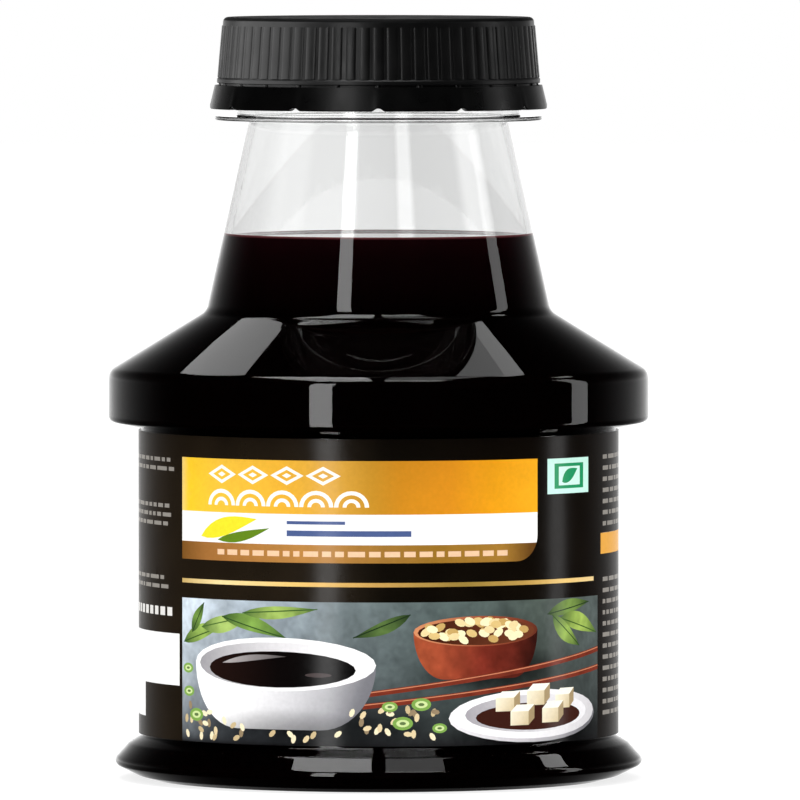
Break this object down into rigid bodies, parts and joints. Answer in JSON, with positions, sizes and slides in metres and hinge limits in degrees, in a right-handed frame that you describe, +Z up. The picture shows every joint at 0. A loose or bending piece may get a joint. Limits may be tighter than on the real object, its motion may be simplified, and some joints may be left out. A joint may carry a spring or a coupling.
{
  "type": "soy sauce bottle",
  "caption": "Squat clear plastic sauce bottle, filled with dark sauce to the neck, with a ribbed screw cap and a wrap label in a recessed waist.",
  "frame": {"origin": "centre of the base, on the surface that the bottle stands on", "axes": "+Z up along the bottle's axis; the front of the label faces -Y"},
  "size_m": [0.0756, 0.0756, 0.1065],
  "materials": {
    "clear_plastic": "clear glossy blown plastic",
    "sauce": "dark red-brown liquid, near black in depth",
    "printed_film": "semi-gloss printed film, black ground with orange, white and slate fields",
    "cap_plastic": "satin black moulded plastic"
  },
  "bodies": {
    "root": {"bottle": "clear_plastic", "soy_sauce": "sauce", "label": "printed_film", "screw_cap": "cap_plastic"}
  },
  "joints": []
}
